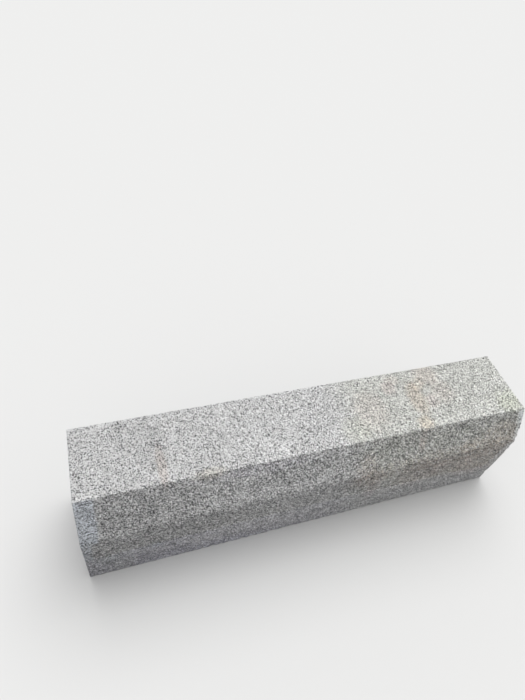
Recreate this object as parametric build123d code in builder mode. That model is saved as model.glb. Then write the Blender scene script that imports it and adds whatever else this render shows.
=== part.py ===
from build123d import *
import math
import os

# Granite kerb stone, standing on its bed. X runs along the kerb, -Y is the street side and Z is up.
# The origin is on the bed, under the middle of the stone. All sizes are in millimetres.

# Driving dimensions of the sawn block
length = 1000
bed_width = 200
height = 275

# The sloping upper front: how far it leans back, and how far down it reaches
slope_run = 42
slope_drop = 84

# The hammered front: it ends this far below the top, and lies this much behind the sawn stone
hammered_drop = 185
hammered_depth = 1

# Sawn margins that the hammering leaves at the two ends of the front
left_margin = 35
right_margin = 12

# Broken edges round the top and the ends
arris = 1.5

# Places in the section, which is drawn with Y across and Z up
front = -bed_width / 2
back = bed_width / 2
crease = height - slope_drop
hammered_line = height - hammered_drop

# The hammered front runs parallel to the sawn one, both on the slope and below the crease
slope_angle = math.atan2(slope_run, slope_drop)
hammered_front = front + hammered_depth
hammered_crease = crease - hammered_depth * math.tan(slope_angle / 2)
hammered_top = front + slope_run + hammered_depth / math.cos(slope_angle)

with BuildPart() as kerb_stone:
    # The stone at its hammered stretch, with the ledge where the sawn lower front begins
    with BuildSketch(Plane.YZ) as hammered_section:
        with BuildLine():
            Polyline(
                (front, 0),
                (back, 0),
                (back, height),
                (hammered_top, height),
                (hammered_front, hammered_crease),
                (hammered_front, hammered_line),
                (front, hammered_line),
                close=True,
            )
        make_face()
        chamfer(hammered_section.vertices().group_by(Axis.Y)[-1], length=arris)
    extrude(amount=length / 2, both=True)

    # The sawn margins at the left and right ends, flush with the lower front
    margins = ((-length / 2, left_margin), (length / 2 - right_margin, right_margin))
    for margin_start, margin_width in margins:
        with BuildSketch(Plane.YZ.offset(margin_start)) as sawn_section:
            with BuildLine():
                Polyline(
                    (front, 0),
                    (back, 0),
                    (back, height),
                    (front + slope_run, height),
                    (front, crease),
                    close=True,
                )
            make_face()
            chamfer(sawn_section.vertices().group_by(Axis.Y)[-1], length=arris)
        extrude(amount=margin_width)

    # Broken edges round each end face, apart from its sharp edge on the bed
    ends = kerb_stone.faces().sort_by(Axis.X)
    end_edges = ends[0].edges().sort_by(Axis.Z)[1:] + ends[-1].edges().sort_by(Axis.Z)[1:]
    chamfer(end_edges, length=arris)

kerb_stone.part.label = "kerb_stone"

os.makedirs("parts", exist_ok=True)
export_step(kerb_stone.part, "parts/kerb_stone.step")
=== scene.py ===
"""A granite kerb stone in a plain studio.

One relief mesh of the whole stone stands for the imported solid.
"""
import itertools
import math

import bpy
import numpy as np
from mathutils import Matrix, Vector
from mathutils.geometry import delaunay_2d_cdt


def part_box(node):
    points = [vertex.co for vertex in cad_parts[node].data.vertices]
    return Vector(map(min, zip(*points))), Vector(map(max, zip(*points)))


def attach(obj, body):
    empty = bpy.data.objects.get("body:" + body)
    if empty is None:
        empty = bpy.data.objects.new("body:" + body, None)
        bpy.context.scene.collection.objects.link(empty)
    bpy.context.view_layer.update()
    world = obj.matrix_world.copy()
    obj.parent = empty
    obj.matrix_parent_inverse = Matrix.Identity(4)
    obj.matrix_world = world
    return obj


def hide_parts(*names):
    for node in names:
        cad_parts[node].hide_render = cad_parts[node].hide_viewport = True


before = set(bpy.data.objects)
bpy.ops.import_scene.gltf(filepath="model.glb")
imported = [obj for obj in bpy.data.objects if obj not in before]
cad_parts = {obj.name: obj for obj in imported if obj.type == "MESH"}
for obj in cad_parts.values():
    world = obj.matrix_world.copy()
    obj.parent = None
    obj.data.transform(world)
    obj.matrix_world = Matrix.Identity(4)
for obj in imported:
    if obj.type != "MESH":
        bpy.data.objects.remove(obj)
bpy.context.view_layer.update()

MM = 0.001

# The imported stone's box gives its length, its bed and its height
stone_low, stone_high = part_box("kerb_stone")
left, front, bed = stone_low
right, back, top = stone_high
length = right - left

# The sloping upper front is larger at the left end than at the right. Its crease bows up a little.
slope_run_left = 44 * MM
slope_run_right = 38.5 * MM
slope_drop_left = 92.5 * MM
slope_drop_right = 78 * MM
crease_rise = 2.5 * MM

# The stone isn't quite true: its back leans in towards the top, and its left end is out of square
back_lean = 2 * MM
left_skew = 2.6 * MM

# The hammered front ends in a ledge, this high above the bed at the ends and higher between them
ledge_left = 97 * MM
ledge_right = 78 * MM
ledge_rise = 14 * MM
ledge_softness = 0.3 * MM
hammered_depth = 1 * MM

# Sawn margins at the two ends of the front, measured on the slope and below the crease
left_margin = 35 * MM
left_margin_low = 16 * MM
right_margin = 13 * MM
right_margin_low = 22 * MM
margin_wobble = 3 * MM

# Where the upper arris starts to be worn, and the lower one to have large and then deep bites
worn_from = left + 0.6 * length
large_from = left + 0.25 * length
deep_from = left + 0.65 * length

# The mesh: distance between its rows and columns, and of the first rows beside each arris
column_step = 2.6 * MM
row_step = 3.2 * MM
back_row_step = 8 * MM
bed_row_step = 20 * MM
end_step = 5 * MM
arris_rows = (0.5 * MM, 1.2 * MM, 2.2 * MM)

# Relief of the faces, and how softly two faces meet at an arris
hammered_relief = 1.8 * MM
top_relief = 0.7 * MM
sawn_relief = 0.15 * MM
arris_softness = 0.5 * MM

# How the mesh's points are moved onto the relief: how far from an arris both of its faces count,
# how far outside a bite it still counts, and how often and how far a point is moved
arris_blend = 1.5 * MM
bite_reach = 8 * MM
wear_reach = 4 * MM
moves = 10
longest_move = 3 * MM
share_of_move = 0.9

# The granite: the size of its grains and of its mica flakes, and the noise that bends their outlines
grain_size = 1.75 * MM
flake_size = 1.45 * MM
bend_size = 1.2 * MM
bend_reach = 0.6 * MM


# Noise and smooth changes

def scatter(cells, seed):
    """One random value from -1 to 1 for each whole-numbered cell."""
    mixed = cells @ np.array((73856093, 19349663, 83492791)) + seed * 2654435761
    mixed = (mixed ^ (mixed >> 13)) * 1274126177
    mixed = mixed ^ (mixed >> 16)
    return (mixed & 0xFFFF) / 32767.5 - 1


def smooth_noise(points, cell, seed):
    """Random values from -1 to 1 that change smoothly over the length of one cell."""
    place = points / cell
    corner = np.floor(place).astype(np.int64)
    part = place - corner
    part = part * part * (3 - 2 * part)
    total = np.zeros(len(points))
    for step in itertools.product((0, 1), repeat=3):
        weight = np.prod(np.where(step, part, 1 - part), axis=1)
        total += weight * scatter(corner + np.array(step), seed)
    return total


def smooth_step(value, low, high):
    """0 below low, 1 above high, and a smooth rise between."""
    part = np.clip((value - low) / (high - low), 0, 1)
    return part * part * (3 - 2 * part)


def band(value, rise, fall):
    """A smooth rise from 0 to 1 and a smooth fall back to 0, each given by its two ends."""
    return smooth_step(value, *rise) * (1 - smooth_step(value, *fall))


# The shape of the stone

def along(x, at_left, at_right):
    """A size that changes evenly from the left end to the right one."""
    return at_left + (at_right - at_left) * (x - left) / length


def bow(x):
    """0 at both ends, 1 in the middle."""
    share = (x - left) / length
    return 4 * share * (1 - share)


def crease_height(x):
    """How high the crease between the slope and the lower front lies."""
    return top - along(x, slope_drop_left, slope_drop_right) + crease_rise * bow(x)


def arris_place(x):
    """How far back the arris between the slope and the top lies."""
    return front + along(x, slope_run_left, slope_run_right)


def slope_angle(x):
    """The slope's angle from upright."""
    return np.arctan2(arris_place(x) - front, top - crease_height(x))


def ledge_height(x):
    """How high the ledge at the foot of the hammered front lies."""
    return along(x, ledge_left, ledge_right) + ledge_rise * bow(x)


def above_ledge(points):
    """1 above the ledge, 0 below it."""
    height = points[:, 2] - ledge_height(points[:, 0])
    return smooth_step(height, -ledge_softness, ledge_softness)


def hammered_share(points):
    """1 where the front was hammered, 0 on its sawn margins and below the ledge."""
    x, _, z = points.T
    wobble = margin_wobble * smooth_noise(points, 9 * MM, 11)
    below = smooth_step(crease_height(x) - z, 0, 25 * MM)
    at_left = left_margin + (left_margin_low - left_margin) * below
    at_right = right_margin + (right_margin_low - right_margin) * below
    inside_left = smooth_step(x - left - at_left + wobble, -3 * MM, 3 * MM)
    inside_right = smooth_step(right - at_right - x + wobble / 2, -2 * MM, 2 * MM)
    return inside_left * inside_right * above_ledge(points)


def hammer_marks(points):
    """Depth of the hammered relief at each point, as a share of its greatest depth."""
    coarse = smooth_noise(points, 9 * MM, 1)
    middle = smooth_noise(points, 5 * MM, 2)
    fine = smooth_noise(points, 3 * MM, 3)
    return np.clip(0.5 + 0.2 * coarse + 0.25 * middle + 0.25 * fine, 0, 1)


def face_distances(points):
    """How far each point stands out of each face of the stone, relief included."""
    x, y, z = points.T
    angle = slope_angle(x)
    hammered = hammered_share(points)
    marks = hammer_marks(points)
    sawn = sawn_relief * (1 + smooth_noise(points, 14 * MM, 4)) / 2
    worked = sawn + (hammered_depth + hammered_relief * (marks - 0.5) - sawn) * hammered
    slope = (front - y) * np.cos(angle) + (z - crease_height(x)) * np.sin(angle)
    real_back = back - back_lean * (z - bed) / (top - bed)
    real_left = left + left_skew * (y - front) / (back - front)
    return {
        "top": z - top + top_relief * marks,
        "slope": slope + worked,
        "front": front - y + worked,
        "back": y - real_back + sawn,
        "bed": bed - z + sawn,
        "left": real_left - x + sawn,
        "right": x - right + sawn,
    }


def soft_maximum(values, softness):
    """The largest of the values, rounded where two are nearly the same."""
    peak = np.max(values, axis=0)
    return peak + softness * np.log(np.sum(np.exp((values - peak) / softness), axis=0))


class Chips:
    """Bites that are missing from the arrises, each one a rough ball."""

    def __init__(self, seed):
        self.random = np.random.default_rng(seed)
        self.centres = []
        self.radii = []

    def bite(self, point, outward, radius, depth):
        """One bite at a point of an arris, seen from outside along outward."""
        centre = Vector(point) + Vector(outward).normalized() * (radius - depth)
        self.centres.append(tuple(centre))
        self.radii.append(radius)

    def along_arris(self, start, end, outward, spacing, radii, depths):
        """Bites at uneven places along an arris. Radii and depths are the smallest and largest."""
        start, end = Vector(start), Vector(end)
        run = (end - start).length
        place = self.random.uniform(0.5, 1) * spacing
        while place < run - 0.5 * spacing:
            radius = self.random.uniform(*radii)
            depth = self.random.uniform(*depths)
            self.bite(start.lerp(end, place / run), outward, radius, depth)
            place += self.random.uniform(0.3, 1.7) * spacing

    def spare(self, corner, reach):
        """Takes away the bites near a corner that is whole."""
        for i in reversed(range(len(self.centres))):
            if (Vector(self.centres[i]) - Vector(corner)).length < reach:
                del self.centres[i], self.radii[i]

    def distances(self, points, reach):
        """How far each point lies inside the nearest bite, for the points within reach of one."""
        depth = np.full(len(points), -reach)
        rough = 1 + 0.12 * smooth_noise(points, 2.5 * MM, 5)
        for centre, radius in zip(self.centres, self.radii):
            near = np.abs(points[:, 0] - centre[0]) < radius + reach
            away = np.linalg.norm(points[near] - centre, axis=1) * rough[near]
            depth[near] = np.maximum(depth[near], radius - away)
        return depth


# The right end of the crease is knocked off, and the arris above and below it is rough. For each
# bite: how far behind the front and how high it lies, the way it faces, its radius and its depth,
# with all lengths in millimetres
knocks = (
    (8, 214, (1, -0.4, 0.2), 18, 4.5),
    (0, 194, (1, -0.5, 0.4), 24, 6),
    (0, 172, (1, -0.6, 0.1), 20, 6),
    (0, 146, (1, -0.7, 0), 16, 4),
    (0, 34, (1, -0.8, -0.1), 18, 3.5),
)


def make_chips():
    """The chipped arrises: light along the top, heavier along the bed and at the right end."""
    chips = Chips(seed=7)
    tiny = {"radii": (1.5 * MM, 4 * MM), "depths": (0.4 * MM, 1.1 * MM)}
    small = {"radii": (2 * MM, 6 * MM), "depths": (0.6 * MM, 2 * MM)}
    large = {"radii": (5 * MM, 12 * MM), "depths": (1.2 * MM, 5 * MM)}
    deep = {"radii": (5 * MM, 9 * MM), "depths": (2.5 * MM, 5 * MM)}
    upper = [(x, arris_place(x), top) for x in (left, right)]
    rear = back - back_lean
    chips.along_arris(*upper, (0, -0.5, 0.85), 60 * MM, **tiny)
    chips.along_arris((left, rear, top), (right, rear, top), (0, 1, 1), 30 * MM, **tiny)
    chips.along_arris((left, front, bed), (right, front, bed), (0, -1, -1), 11 * MM, **small)
    chips.along_arris((large_from, front, bed), (right, front, bed), (0, -1, -1), 22 * MM, **large)
    chips.along_arris((deep_from, front, bed), (right, front, bed), (0, -1, -1), 14 * MM, **deep)
    chips.along_arris((left, back, bed), (right, back, bed), (0, 1, -1), 14 * MM, **small)
    chips.along_arris((left, back, bed), (right, back, bed), (0, 1, -1), 90 * MM, **large)
    for end, sign, size in ((left, -1, tiny), (right, 1, small)):
        crease = crease_height(end)
        arris = arris_place(end)
        chips.along_arris((end, front, bed), (end, front, crease), (sign, -1, 0), 15 * MM, **size)
        chips.along_arris((end, front, crease), (end, arris, top), (sign, -0.9, 0.4), 24 * MM, **tiny)
        chips.along_arris((end, arris, top), (end, rear, top), (sign, 0, 1), 24 * MM, **tiny)
        chips.along_arris((end, back, bed), (end, rear, top), (sign, 1, 0), 22 * MM, **size)
        chips.along_arris((end, front, bed), (end, back, bed), (sign, 0, -1), 14 * MM, **small)
    for behind, height, outward, radius, depth in knocks:
        chips.bite((right, front + behind * MM, height * MM), outward, radius * MM, depth * MM)
    for end in (left, right):
        chips.spare((end, arris_place(end), top), 14 * MM)
    return chips


def make_wear():
    """Wide shallow bites that blunt the crease, and the arris above it towards the right end."""
    wear = Chips(seed=3)
    crease = [(x, front, crease_height(x)) for x in (left, 0, right)]
    for start, end in zip(crease[:-1], crease[1:]):
        wear.along_arris(start, end, (0, -0.97, 0.23), 12 * MM, (30 * MM, 60 * MM), (0.4 * MM, 1 * MM))
    upper = [(x, arris_place(x), top) for x in (worn_from, right)]
    wear.along_arris(*upper, (0, -0.5, 0.85), 12 * MM, (12 * MM, 25 * MM), (0.3 * MM, 1.1 * MM))
    return wear


def settle(points, chips, wear):
    """Moves points from the sharp block onto the stone's real surface."""
    flat = np.array(list(face_distances(points).values()))
    weights = np.exp((flat - flat.max(axis=0)) / arris_blend)
    normals = face_normals(points)
    outward = np.einsum("fp,fpc->pc", weights, normals)
    outward /= np.linalg.norm(outward, axis=1, keepdims=True)
    for _ in range(moves):
        faces = np.array(list(face_distances(points).values()))
        bites = chips.distances(points, bite_reach)
        worn = wear.distances(points, wear_reach)
        outside = soft_maximum(np.vstack((faces, bites, worn)), arris_softness)
        move = np.clip(outside, -longest_move, longest_move)[:, None]
        points = points - outward * move * share_of_move
    return points, weights, bites - faces.max(axis=0)


def face_normals(points):
    """The outward directions of the faces, in the order of face_distances."""
    angle = slope_angle(points[:, 0])
    slope = np.stack((np.zeros(len(points)), -np.cos(angle), np.sin(angle)), axis=1)
    normals = [np.broadcast_to(n, points.shape) for n in (
        (0, 0, 1), (0, 0, 0), (0, -1, 0), (0, 1, 0), (0, 0, -1), (-1, 0, 0), (1, 0, 0))]
    normals[1] = slope
    return np.array(normals, dtype=float)


# The mesh

def graded(size, step):
    """Places from 0 to size, close together near both ends and about one step apart between."""
    near = np.array(arris_rows)
    count = max(round((size - 2 * near[-1]) / step), 1)
    middle = np.linspace(near[-1], size - near[-1], count + 1)
    return np.concatenate(([0], near[:-1], middle, size - near[-2::-1], [size]))


def section_corners(x):
    """The section's corners at each x, from the bed's front round by the back and the top."""
    def corner(y, z):
        return np.stack((x, np.broadcast_to(y, x.shape), np.broadcast_to(z, x.shape)), axis=1)
    return (
        corner(front, bed),
        corner(back, bed),
        corner(back - back_lean, top),
        corner(arris_place(x), top),
        corner(front, crease_height(x)),
        corner(front, ledge_height(x)),
        corner(front, bed),
    )


def wall_grid():
    """Points of the long sides: a row for each place round the section, a column for each x."""
    x = left + graded(length, column_step)
    corners = section_corners(x)
    steps = (bed_row_step, back_row_step, row_step, row_step, row_step, row_step)
    rows = []
    for start, end, step in zip(corners[:-1], corners[1:], steps):
        size = np.linalg.norm(end[0] - start[0])
        for share in graded(size, step)[:-1] / size:
            rows.append(start * (1 - share) + end * share)
    return np.array(rows)


def cap_points(ring):
    """Points inside an end face: rows close to its arrises, and a lattice in the middle."""
    edge = np.roll(ring, -1, axis=0) - ring
    edge /= np.linalg.norm(edge, axis=1, keepdims=True)
    inward = np.stack((-edge[:, 1], edge[:, 0]), axis=1)
    bisector = inward + np.roll(inward, 1, axis=0)
    bisector /= np.linalg.norm(bisector, axis=1, keepdims=True)

    def depth(points):
        return np.min(np.einsum("pec,ec->pe", points[:, None] - ring[None], inward), axis=1)

    # A point of a row is left out where another side is nearer than its own
    found = []
    for inset in arris_rows:
        row = ring + bisector * inset
        found.append(row[depth(row) > 0.9 * inset])
    y = np.arange(front, back, end_step)
    z = np.arange(bed, top, end_step)
    lattice = np.stack(np.meshgrid(y, z), axis=-1)
    lattice[1::2, :, 0] += end_step / 2
    lattice = lattice.reshape(-1, 2)
    found.append(lattice[depth(lattice) > 2 * arris_rows[-1]])
    return np.concatenate(found)


def end_cap(grid, column, start, flip):
    """Points and faces that close one end. The ring's points are those of the wall's column."""
    rows, columns = grid.shape[:2]
    ring = grid[:, column]
    inner = cap_points(ring[:, 1:])
    flat = np.concatenate((ring[:, 1:], inner))
    flat = [Vector(point) for point in flat]
    _, _, triangles, origins, _, _ = delaunay_2d_cdt(flat, [], [list(range(rows))], 1, 1e-7)
    names = [row * columns + column for row in range(rows)] + list(range(start, start + len(inner)))
    sources = [names[origin[0]] for origin in origins]
    faces = []
    for triangle in triangles:
        corners = [sources[i] for i in triangle]
        faces.append(corners[::-1] if flip else corners)
    used = sorted({name for face in faces for name in face if name >= start})
    renamed = {name: start + place for place, name in enumerate(used)}
    faces = [[renamed.get(name, name) for name in face] for face in faces]
    inner = inner[np.array(used) - start]
    points = np.column_stack((np.full(len(inner), ring[0, 0]), inner))
    return points, faces


def wall_faces(rows, columns):
    """Quads between the neighbours in the wall's grid, whose last row meets its first."""
    faces = []
    for row in range(rows):
        here = row * columns
        after = (row + 1) % rows * columns
        for i in range(columns - 1):
            faces.append((here + i, after + i, after + i + 1, here + i + 1))
    return faces


def build_stone():
    """One closed mesh of the whole stone, with its relief, its soft arrises and its chips."""
    grid = wall_grid()
    rows, columns = grid.shape[:2]
    points = [grid.reshape(-1, 3)]
    faces = wall_faces(rows, columns)
    count = rows * columns
    for column, flip in ((0, True), (columns - 1, False)):
        cap, cap_faces = end_cap(grid, column, count, flip)
        points.append(cap)
        faces += cap_faces
        count += len(cap)
    sharp = np.concatenate(points)
    settled, weights, bitten = settle(sharp, make_chips(), make_wear())
    settled[:, 2] -= settled[:, 2].min() - bed
    mesh = bpy.data.meshes.new("kerb_stone_relief")
    mesh.from_pydata(settled.tolist(), [], faces)
    mesh.polygons.foreach_set("use_smooth", [True] * len(mesh.polygons))
    paint_stone(mesh, sharp, weights, bitten)
    mesh.validate()
    stone = bpy.data.objects.new("kerb_stone_relief", mesh)
    bpy.context.collection.objects.link(stone)
    return stone


# What the material reads from the mesh

def paint_stone(mesh, sharp, weights, bitten):
    """Paints how each point was worked, how much painted relief shade its grains carry, how light it
    is, and whether a bite has laid it open.
    """
    # How much of each point belongs to each face, in the order of face_distances
    share = weights ** 2 / np.sum(weights ** 2, axis=0)
    on_front = share[1] + share[2]
    worked = hammered_share(sharp)
    paint(mesh, "hammered", share[0] + on_front * worked)
    paint(mesh, "margin", on_front * (1 - worked) * above_ledge(sharp))
    paint(mesh, "contrast_and_shade", grain_contrast_and_shade(sharp, share, worked))
    paint(mesh, "tone", tone(sharp, share))
    paint(mesh, "broken", smooth_step(bitten, -0.4 * MM, 0.2 * MM))


def grain_contrast_and_shade(points, share, worked):
    """How much the grains stand out, partly as painted relief shade: a little on the top, more on the
    slope, fully below it.
    """
    place = (points[:, 0] - left) / length
    on_top = 0.35 * place
    on_slope = (0.6 + 0.5 * place) * (0.45 + 0.55 * worked)
    return share[0] * on_top + share[1] * on_slope + share[2]


def tone(points, share):
    """How much lighter or darker than usual the stone is at each point, as a share."""
    place = (points[:, 0] - left) / length
    on_top = top_tone(points, place)
    on_slope = slope_tone(points, place)
    on_lower = lower_tone(points, place)
    return share[0] * on_top + share[1] * on_slope + share[2] * on_lower


def top_tone(points, place):
    """Lighter beside the front arris and at the right, darker at the left."""
    x, y, _ = points.T
    right_part = smooth_step(place, 0.65, 0.85)
    beside_arris = 1 - smooth_step(y - arris_place(x), 0, 30 * MM)
    shade = (0.06 + 0.06 * right_part) * beside_arris
    shade -= 0.04 * (1 - smooth_step(place, 0.2, 0.3))
    shade += 0.03 * smooth_step(place, 0.85, 0.95)
    return shade


def slope_tone(points, place):
    """Lighter under the arris, above the crease and at the right edge, darker at the left."""
    x, _, z = points.T
    right_part = smooth_step(place, 0.65, 0.85)
    under_arris = 1 - smooth_step(top - z, 0, 11 * MM)
    uneven = 0.6 + 0.6 * smooth_noise(points, 60 * MM, 21)
    uneven *= smooth_step(place, 0.14, 0.24)
    beside_crease = band(z - crease_height(x), (-2 * MM, 5 * MM), (20 * MM, 34 * MM))
    shade = (0.04 + 0.08 * right_part) * under_arris + 0.12 * beside_crease * uneven
    shade -= 0.09 * (1 - smooth_step(place, 0.1, 0.36))
    shade += 0.25 * smooth_step(x, right - 15 * MM, right - 10 * MM)
    return shade


def lower_tone(points, place):
    """A painted highlight along the ledge's step and a lighter band below it; lighter under the crease
    and at the right edge's foot, darker at the left.
    """
    x, _, z = points.T
    under_ledge = ledge_height(x) - z
    # A painted highlight where the ledge's step catches the light
    ledge_highlight = band(under_ledge, (-3 * MM, 0), (3 * MM, 9 * MM))
    beside_ledge = band(under_ledge, (-2 * MM, 2 * MM), (0, 50 * MM))
    under_crease = smooth_step(z - crease_height(x), -14 * MM, -2 * MM)
    under_crease *= band(place, (0.15, 0.5), (0.84, 0.92))
    right_foot = smooth_step(x, right - 28 * MM, right - 18 * MM)
    right_foot *= 1 - smooth_step(z, 90 * MM, 120 * MM)
    left_end = 1 - smooth_step(place, 0, 0.4)
    left_foot = smooth_step(under_ledge, 10 * MM, 60 * MM) * (1 - smooth_step(place, 0, 0.2))
    # The painted highlight along the ledge's step, fading out towards the left end
    shade = 0.07 * ledge_highlight * smooth_step(place, 0.15, 0.3)
    shade += 0.09 * beside_ledge * (0.4 + 0.6 * place)
    shade += 0.08 * under_crease + 0.08 * right_foot
    shade -= 0.17 * left_end + 0.1 * left_foot
    shade += 0.03 * smooth_step(z, 70 * MM, 90 * MM)
    return shade


def paint(mesh, name, values):
    """Stores one number for each point, for the material to read."""
    layer = mesh.attributes.new(name, "FLOAT", "POINT")
    layer.data.foreach_set("value", np.asarray(values, dtype=np.float32))


# Materials

class Tree:
    """The nodes of a material or the world, added one by one with what feeds them."""

    def __init__(self, node_tree):
        self.nodes = node_tree.nodes
        self.links = node_tree.links
        self.nodes.clear()

    def add(self, kind, inputs, output=0, **settings):
        """A new node. Its inputs are numbers, colours or other nodes' outputs."""
        node = self.nodes.new("ShaderNode" + kind)
        for name, value in settings.items():
            setattr(node, name, value)
        for key, value in inputs.items():
            if isinstance(value, bpy.types.NodeSocket):
                self.links.new(value, node.inputs[key])
            else:
                node.inputs[key].default_value = value
        return node.outputs[output] if node.outputs else None

    def math(self, operation, first, second=0.0, third=0.0, clamp=False):
        """What an operation makes of up to three numbers."""
        inputs = {0: first, 1: second, 2: third}
        return self.add("Math", inputs, operation=operation, use_clamp=clamp)

    def mix(self, share, first, second, blend="MIX"):
        """Two colours, or a colour blended with another, by a share from 0 to 1."""
        inputs = {0: share, 6: first, 7: second}
        return self.add("Mix", inputs, output=2, data_type="RGBA", blend_type=blend, clamp_factor=True)

    def noise(self, place, size, detail=2.0, roughness=0.5):
        """Noise from 0 to 1 whose features are about as large as size."""
        inputs = {"Vector": place, "Scale": 1 / size, "Detail": detail, "Roughness": roughness}
        return self.add("TexNoise", inputs)

    def ramp(self, value, stops):
        """Colours for values from 0 to 1, given as (place, colour) pairs."""
        node = self.nodes.new("ShaderNodeValToRGB")
        self.links.new(value, node.inputs[0])
        elements = node.color_ramp.elements
        while len(elements) < len(stops):
            elements.new(0.5)
        for element, (place, colour) in zip(elements, stops):
            element.position = place
            element.color = (*colour, 1)
        return node.outputs[0]

    def painted(self, name):
        """The numbers that were painted on the mesh under this name."""
        return self.add("Attribute", {}, output="Fac", attribute_name=name)

    def times(self, colour, factor):
        """A colour multiplied by another one or by a number."""
        return self.mix(1.0, colour, factor, blend="MULTIPLY")

    def spread(self, value, low, high):
        """A value from 0 to 1, changed to one from low to high."""
        return self.add("MapRange", {"Value": value, "To Min": low, "To Max": high})

    def direct_rays(self):
        """1 for rays that come from the camera, or from it by a mirror or through glass."""
        rays = self.nodes.new("ShaderNodeLightPath").outputs
        direct = self.math("ADD", rays["Is Camera Ray"], rays["Is Glossy Ray"])
        return self.math("ADD", direct, rays["Is Transmission Ray"], clamp=True)

    def between(self, value, low, high):
        """0 below low, 1 above high."""
        inputs = {"Value": value, "From Min": low, "From Max": high}
        return self.add("MapRange", inputs, clamp=True, interpolation_type="SMOOTHSTEP")


def grey(value):
    """A colour with as much red as green and blue."""
    return (value, value, value)


# Tones of the pale grains, from the darkest quartz to the lightest feldspar. Each comes after the
# share of the grains that are darker.
grain_tones = (
    (0.00, grey(0.38)),
    (0.24, grey(0.47)),
    (0.36, grey(0.60)),
    (0.80, grey(0.67)),
    (1.00, grey(0.78)),
)
mica_tone = grey(0.01)
lightest_tone = grey(0.96)
broken_tone = (0.70, 0.70, 0.69)

# On the front the grains stand out more, as painted shade of the hammered relief: their tones are
# raised to a power and lightened again
front_shade_power = 3.8
front_shade_gain = grey(3.9)

# What the colour is multiplied by where the stone was only sawn, on the margins of the front, and
# on the right half
sawn_tint = (0.875, 0.873, 0.93)
margin_tint = (1.07, 1.125, 1.13)
warm_tint = (1.0, 1.008, 0.955)
warm_between = (30 * MM, 130 * MM)

# The middle of the saw's disc in metres, about which its marks run
saw_centre = (-0.3, 0.35, 1.6)


# Stains and lighter or darker patches, each with its centre and half-widths in millimetres
# and the colour that the stone is multiplied by
stains = (
    # On the top: a tan streak in a darker one at the left, then tan, pink and ochre patches
    ((-348, 20, 275), (22, 85, 20), (0.94, 0.94, 0.94)),
    ((-334, -20, 275), (9, 40, 20), (1.02, 0.96, 0.925)),
    ((-248, -56, 272), (28, 12, 10), (1.00, 0.975, 0.92)),
    ((-206, 8, 275), (12, 16, 20), (0.93, 0.93, 0.93)),
    ((75, -30, 275), (30, 30, 12), (1.00, 1.005, 0.96)),
    ((130, 10, 275), (36, 45, 20), (1.02, 0.98, 0.97)),
    ((196, 58, 275), (16, 18, 20), (1.035, 0.97, 0.97)),
    ((215, 77, 275), (18, 12, 20), (1.02, 0.98, 0.97)),
    ((271, 54, 275), (17, 15, 20), (1.02, 0.97, 0.93)),
    ((252, 18, 275), (19, 40, 20), (1.05, 0.97, 0.91)),
    ((240, -46, 275), (18, 15, 12), (1.04, 0.965, 0.89)),
    ((285, 5, 275), (14, 18, 20), (1.03, 0.97, 0.97)),
    ((305, 78, 275), (26, 26, 20), (1.03, 0.97, 0.95)),
    ((322, 25, 275), (26, 28, 20), (1.02, 0.975, 0.965)),
    ((476, -38, 275), (30, 32, 7), (0.99, 1.012, 0.94)),
    ((-370, 50, 275), (45, 45, 20), (0.95, 0.95, 0.95)),
    ((-150, -32, 275), (48, 24, 12), (1.08, 1.08, 1.08)),
    ((200, 35, 275), (85, 45, 20), (0.965, 0.965, 0.965)),
    ((370, -34, 275), (60, 22, 12), (1.05, 1.05, 1.05)),
    # On the slope: a darker left part, a pale strip under the arris, a pink streak and tan patches
    ((-400, -76, 238), (64, 30, 46), (0.93, 0.93, 0.93)),
    ((-370, -86, 212), (80, 20, 14), (0.94, 0.94, 0.94)),
    ((-140, -64, 263), (95, 10, 12), (1.15, 1.135, 1.18)),
    ((230, -73, 244), (9, 20, 28), (1.045, 0.97, 0.97)),
    ((95, -88, 212), (22, 22, 34), (1.03, 0.975, 0.955)),
    ((155, -92, 208), (14, 12, 14), (1.16, 1.16, 1.15)),
    ((200, -92, 208), (14, 12, 14), (1.16, 1.16, 1.15)),
    ((360, -93, 205), (24, 18, 20), (1.035, 0.975, 0.935)),
    ((445, -85, 220), (55, 24, 36), (1.04, 0.975, 0.94)),
    ((250, -80, 235), (230, 24, 50), (1.00, 1.00, 0.985)),
    ((460, -72, 250), (18, 18, 18), (0.93, 0.93, 0.93)),
    ((450, -90, 212), (32, 14, 12), (1.10, 1.10, 1.09)),
    # Below the crease: tan and pink patches on the right half, with a pale one between
    ((115, -100, 165), (45, 20, 30), (1.04, 0.97, 0.95)),
    ((135, -100, 110), (18, 20, 36), (1.03, 0.97, 0.99)),
    ((168, -100, 164), (26, 20, 34), (1.21, 1.21, 1.18)),
    ((258, -100, 140), (68, 20, 52), (1.04, 0.975, 0.965)),
    ((345, -100, 140), (58, 20, 46), (1.02, 0.975, 0.965)),
    ((440, -100, 125), (75, 20, 62), (1.045, 0.965, 0.94)),
    ((310, -98, 186), (210, 16, 32), (1.025, 0.985, 0.96)),
    ((330, -100, 84), (190, 16, 24), (1.01, 1.00, 0.985)),
    # At the left, the sawn band is cooler with green and blue patches, and lighter in the middle
    ((-230, -100, 45), (210, 20, 48), (0.995, 0.99, 1.012)),
    ((-250, -100, 12), (150, 16, 30), (0.985, 0.99, 1.02)),
    ((-428, -100, 32), (22, 16, 30), (1.005, 1.01, 0.98)),
    ((-485, -100, 140), (22, 20, 45), (0.87, 0.87, 0.87)),
    ((-430, -100, 125), (28, 20, 24), (0.92, 0.92, 0.92)),
    ((-130, -100, 148), (50, 20, 26), (1.10, 1.10, 1.10)),
    ((-330, -100, 40), (34, 20, 26), (0.92, 0.92, 0.92)),
    ((-455, -100, 75), (18, 20, 25), (0.985, 1.015, 0.985)),
    ((-363, -100, 95), (14, 20, 14), (0.975, 1.005, 1.015)),
    ((-150, -100, 95), (90, 20, 40), (1.05, 1.05, 1.04)),
    ((-100, -100, 60), (200, 20, 36), (1.00, 1.00, 0.97)),
)


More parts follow.
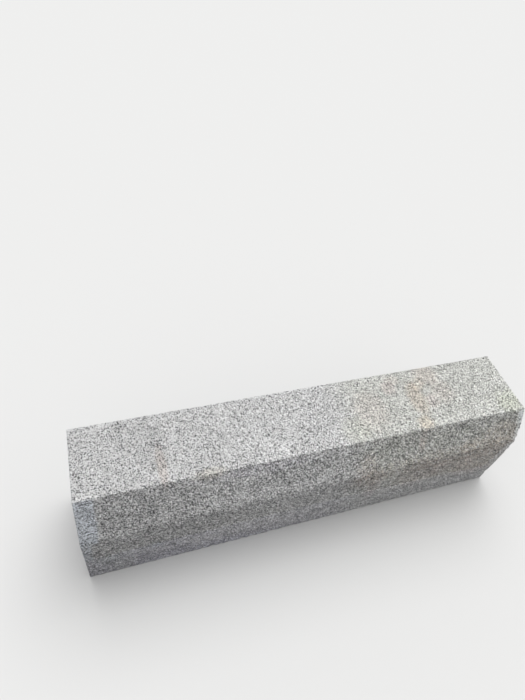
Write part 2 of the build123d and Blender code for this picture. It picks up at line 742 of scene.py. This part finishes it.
def stain(tree, place, colour, centre, size, tint, edge):
    """The colour with one stain on it, fading out towards an uneven edge."""
    centre = tuple(value * MM for value in centre)
    size = tuple(value * MM for value in size)
    offset = tree.add("VectorMath", {0: place, 1: centre}, operation="SUBTRACT")
    scaled = tree.add("VectorMath", {0: offset, 1: size}, operation="DIVIDE")
    away = tree.add("VectorMath", {0: scaled}, output="Value", operation="LENGTH")
    away = tree.math("MULTIPLY_ADD", edge, 0.9, away)
    return tree.mix(tree.between(away, 1.5, 0.6), colour, (*tint, 1), blend="MULTIPLY")


def bent_place(tree, place):
    """The place bent by a fine noise, so that no grain shows straight sides."""
    inputs = {"Vector": place, "Scale": 1 / bend_size, "Detail": 2.0}
    bend = tree.add("TexNoise", inputs, output="Color")
    bend = tree.add("VectorMath", {0: bend, 1: (0.5, 0.5, 0.5)}, operation="SUBTRACT")
    bend = tree.add("VectorMath", {0: bend, "Scale": bend_reach}, operation="SCALE")
    return tree.add("VectorMath", {0: place, 1: bend}, operation="ADD")


def grains(tree, place, bent, contrast_and_shade):
    """Grains of white feldspar and grey quartz, each in a random tone, and black flakes of mica."""
    grain = tree.add("TexVoronoi", {"Vector": bent, "Scale": 1 / grain_size}, output="Color")
    colour = tree.ramp(tree.add("SeparateColor", {"Color": grain}), grain_tones)
    # About one in five of the finer cells is a flake, and a few more on the front
    flake = tree.add("TexVoronoi", {"Vector": bent, "Scale": 1 / flake_size}, output="Color")
    flake = tree.add("SeparateColor", {"Color": flake}, output=1)
    crowding = tree.math("SUBTRACT", tree.noise(place, 14 * MM, detail=1.0), 0.5)
    flake = tree.math("MULTIPLY_ADD", crowding, 0.12, flake)
    flake = tree.math("MULTIPLY_ADD", contrast_and_shade, 0.04, flake)
    flake = tree.between(flake, 0.79, 0.81)
    return tree.mix(flake, colour, (*mica_tone, 1))


def dust_and_relief_shade(tree, place, colour, contrast_and_shade, hammered):
    """The colour with grains that stand out more on the front as painted relief shade, and a mottle
    between them that is partly dust and dirt and partly painted shade.
    """
    # Grains with painted relief shade, for the front
    deep = tree.add("Gamma", {"Color": colour, "Gamma": front_shade_power})
    deep = tree.times(deep, (*front_shade_gain, 1))
    colour = tree.mix(contrast_and_shade, colour, deep)
    mottle = tree.spread(tree.noise(place, 5 * MM), 0.25, 1.75)
    patch = tree.spread(tree.noise(place, 24 * MM, detail=3.0, roughness=0.6), 0.5, 1.5)
    mottled = tree.times(tree.times(colour, mottle), patch)
    # Dust and painted shade: the mottle is strongest where the grains carry the most painted relief
    # shade
    dust_and_shade = tree.math("MULTIPLY", contrast_and_shade, tree.math("MULTIPLY_ADD", hammered, 0.2, 0.8))
    return tree.mix(dust_and_shade, colour, mottled)


def saw_arcs(tree, place):
    """Noise from 0 to 1 in faint arcs, as the disc of the saw left them."""
    reach = tree.add("VectorMath", {0: place, 1: saw_centre}, output="Value", operation="DISTANCE")
    inputs = {"W": reach, "Scale": 1 / (4 * MM), "Detail": 3.0}
    return tree.add("TexNoise", inputs, noise_dimensions="1D")


def sawn(tree, colour, arcs, hammered, margin):
    """The colour with the saw's arcs and a cooler tone where it wasn't hammered."""
    cool = tree.times(tree.times(colour, tree.spread(arcs, 0.84, 1.16)), (*sawn_tint, 1))
    colour = tree.mix(hammered, cool, colour)
    # The margins of the front are paler and bluer than its other sawn parts
    pale = tree.times(colour, (*margin_tint, 1))
    return tree.mix(margin, colour, pale)


def weathered(tree, place, colour):
    """The colour with slow changes of tone over the stone, a warmer right half, and the stains."""
    colour = tree.times(colour, tree.spread(tree.noise(place, 50 * MM), 0.87, 1.13))
    warm_half = tree.between(tree.add("SeparateXYZ", {"Vector": place}), *warm_between)
    colour = tree.mix(warm_half, colour, (*warm_tint, 1), blend="MULTIPLY")
    edge = tree.math("SUBTRACT", tree.noise(place, 12 * MM, detail=3.0, roughness=0.65), 0.5)
    for centre, size, tint in stains:
        colour = stain(tree, place, colour, centre, size, tint, edge)
    return colour


def fine_relief(tree, place, bent, arcs, hammered):
    """Pits and crumbs where the stone was hammered, much less where it was sawn."""
    crumbs = tree.noise(place, 1.8 * MM, detail=3.0, roughness=0.6)
    cells = tree.add("TexVoronoi", {"Vector": bent, "Scale": 1 / grain_size}, output="Distance")
    rough = tree.math("MULTIPLY_ADD", cells, -0.6, crumbs)
    rough = tree.math("MULTIPLY_ADD", tree.noise(place, 4.5 * MM, detail=1.0), 1.3, rough)
    smooth = tree.math("MULTIPLY_ADD", arcs, 0.15, tree.math("MULTIPLY", crumbs, 0.3))
    relief = tree.add("Mix", {0: hammered, 2: smooth, 3: rough})
    return tree.add("Bump", {"Height": relief, "Distance": 1.5 * MM, "Strength": 1.0})


def granite():
    """Salt-and-pepper granite in grains of about 2 mm, hammered, sawn, dusty and stained, with relief
    shade painted on its front.
    """
    material = bpy.data.materials.new("granite")
    material.use_nodes = True
    tree = Tree(material.node_tree)
    place = tree.add("TexCoord", {}, output="Object")
    hammered = tree.painted("hammered")
    # How much the grains stand out, partly as painted shade of the hammered relief
    contrast_and_shade = tree.painted("contrast_and_shade")
    bent = bent_place(tree, place)
    arcs = saw_arcs(tree, place)
    colour = grains(tree, place, bent, contrast_and_shade)
    colour = dust_and_relief_shade(tree, place, colour, contrast_and_shade, hammered)
    colour = sawn(tree, colour, arcs, hammered, tree.painted("margin"))
    colour = tree.times(colour, tree.math("ADD", tree.painted("tone"), 1.0))
    # Stone that a bite has laid open is paler
    laid_open = tree.math("MULTIPLY", tree.painted("broken"), 0.2)
    colour = tree.mix(laid_open, colour, (*broken_tone, 1))
    colour = weathered(tree, place, colour)
    # The lightest grains stay a little below white
    colour = tree.mix(1.0, colour, (*lightest_tone, 1), blend="DARKEN")
    shader = tree.add("BsdfPrincipled", {
        "Base Color": colour,
        "Roughness": tree.spread(hammered, 0.72, 0.92),
        "Specular IOR Level": 0.4,
        "Normal": fine_relief(tree, place, bent, arcs, hammered),
    })
    tree.add("OutputMaterial", {"Surface": shader})
    return material


def floor_material(seen, lit):
    """A matt floor whose colour for the camera is seen, and for the light it throws back is lit."""
    material = bpy.data.materials.new("floor")
    material.use_nodes = True
    tree = Tree(material.node_tree)
    colour = tree.mix(tree.direct_rays(), (*lit, 1), (*seen, 1))
    shader = tree.add("BsdfDiffuse", {"Color": colour})
    tree.add("OutputMaterial", {"Surface": shader})
    return material


# The studio

def make_floor():
    """A flat floor, 16 m wide, at the height of the stone's bed."""
    mesh = bpy.data.meshes.new("floor")
    half = 8.0
    corners = [(-half, -half, bed), (half, -half, bed), (half, half, bed), (-half, half, bed)]
    mesh.from_pydata(corners, [], [(0, 1, 2, 3)])
    floor = bpy.data.objects.new("floor", mesh)
    bpy.context.collection.objects.link(floor)
    mesh.materials.append(floor_material(seen=(0.684, 0.684, 0.679), lit=(0.243, 0.243, 0.243)))


def make_light(name, source, spread, strength):
    """A soft lamp, very far away in the direction of source. Its spread is in degrees."""
    data = bpy.data.lights.new(name, "SUN")
    data.angle = math.radians(spread)
    data.energy = strength
    lamp = bpy.data.objects.new(name, data)
    lamp.rotation_euler = Vector(source).to_track_quat("Z", "Y").to_euler()
    bpy.context.collection.objects.link(lamp)


def make_world(lit, seen):
    """Even light from all sides. The camera and reflections see a paler grey than lights the stone."""
    world = bpy.data.worlds.new("studio")
    world.use_nodes = True
    tree = Tree(world.node_tree)
    direct = tree.direct_rays()
    strength = tree.spread(direct, lit, seen)
    background = tree.add("Background", {"Color": (1, 1, 1, 1), "Strength": strength})
    tree.add("OutputWorld", {"Surface": background})
    bpy.context.scene.world = world


def make_camera():
    """A wide camera, held above the left end and looking down along the stone, rolled to the right."""
    eye = Vector((-0.4185, -0.4923, 1.1949))
    target = Vector((-0.0273, 0.2783, 0.2))
    roll = math.radians(12.58)
    focal_length = 27
    forward = (target - eye).normalized()
    level = forward.cross(Vector((0, 0, 1))).normalized()
    upright = level.cross(forward)
    side = level * math.cos(roll) + upright * math.sin(roll)
    above = side.cross(forward)
    data = bpy.data.cameras.new("camera")
    data.lens = focal_length
    data.sensor_width = 36
    data.clip_start = 0.01
    camera = bpy.data.objects.new("camera", data)
    turn = Matrix((side, above, -forward)).transposed()
    camera.matrix_world = Matrix.Translation(eye) @ turn.to_4x4()
    bpy.context.collection.objects.link(camera)
    bpy.context.scene.camera = camera


stone = build_stone()
stone.data.materials.append(granite())
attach(stone, "root")
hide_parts("kerb_stone")

make_floor()
make_light("key", source=(1.0, 1.8, 4.4), spread=50, strength=1.96)
make_world(lit=0.70, seen=0.85)
make_camera()
bpy.context.scene.view_settings.view_transform = "Standard"
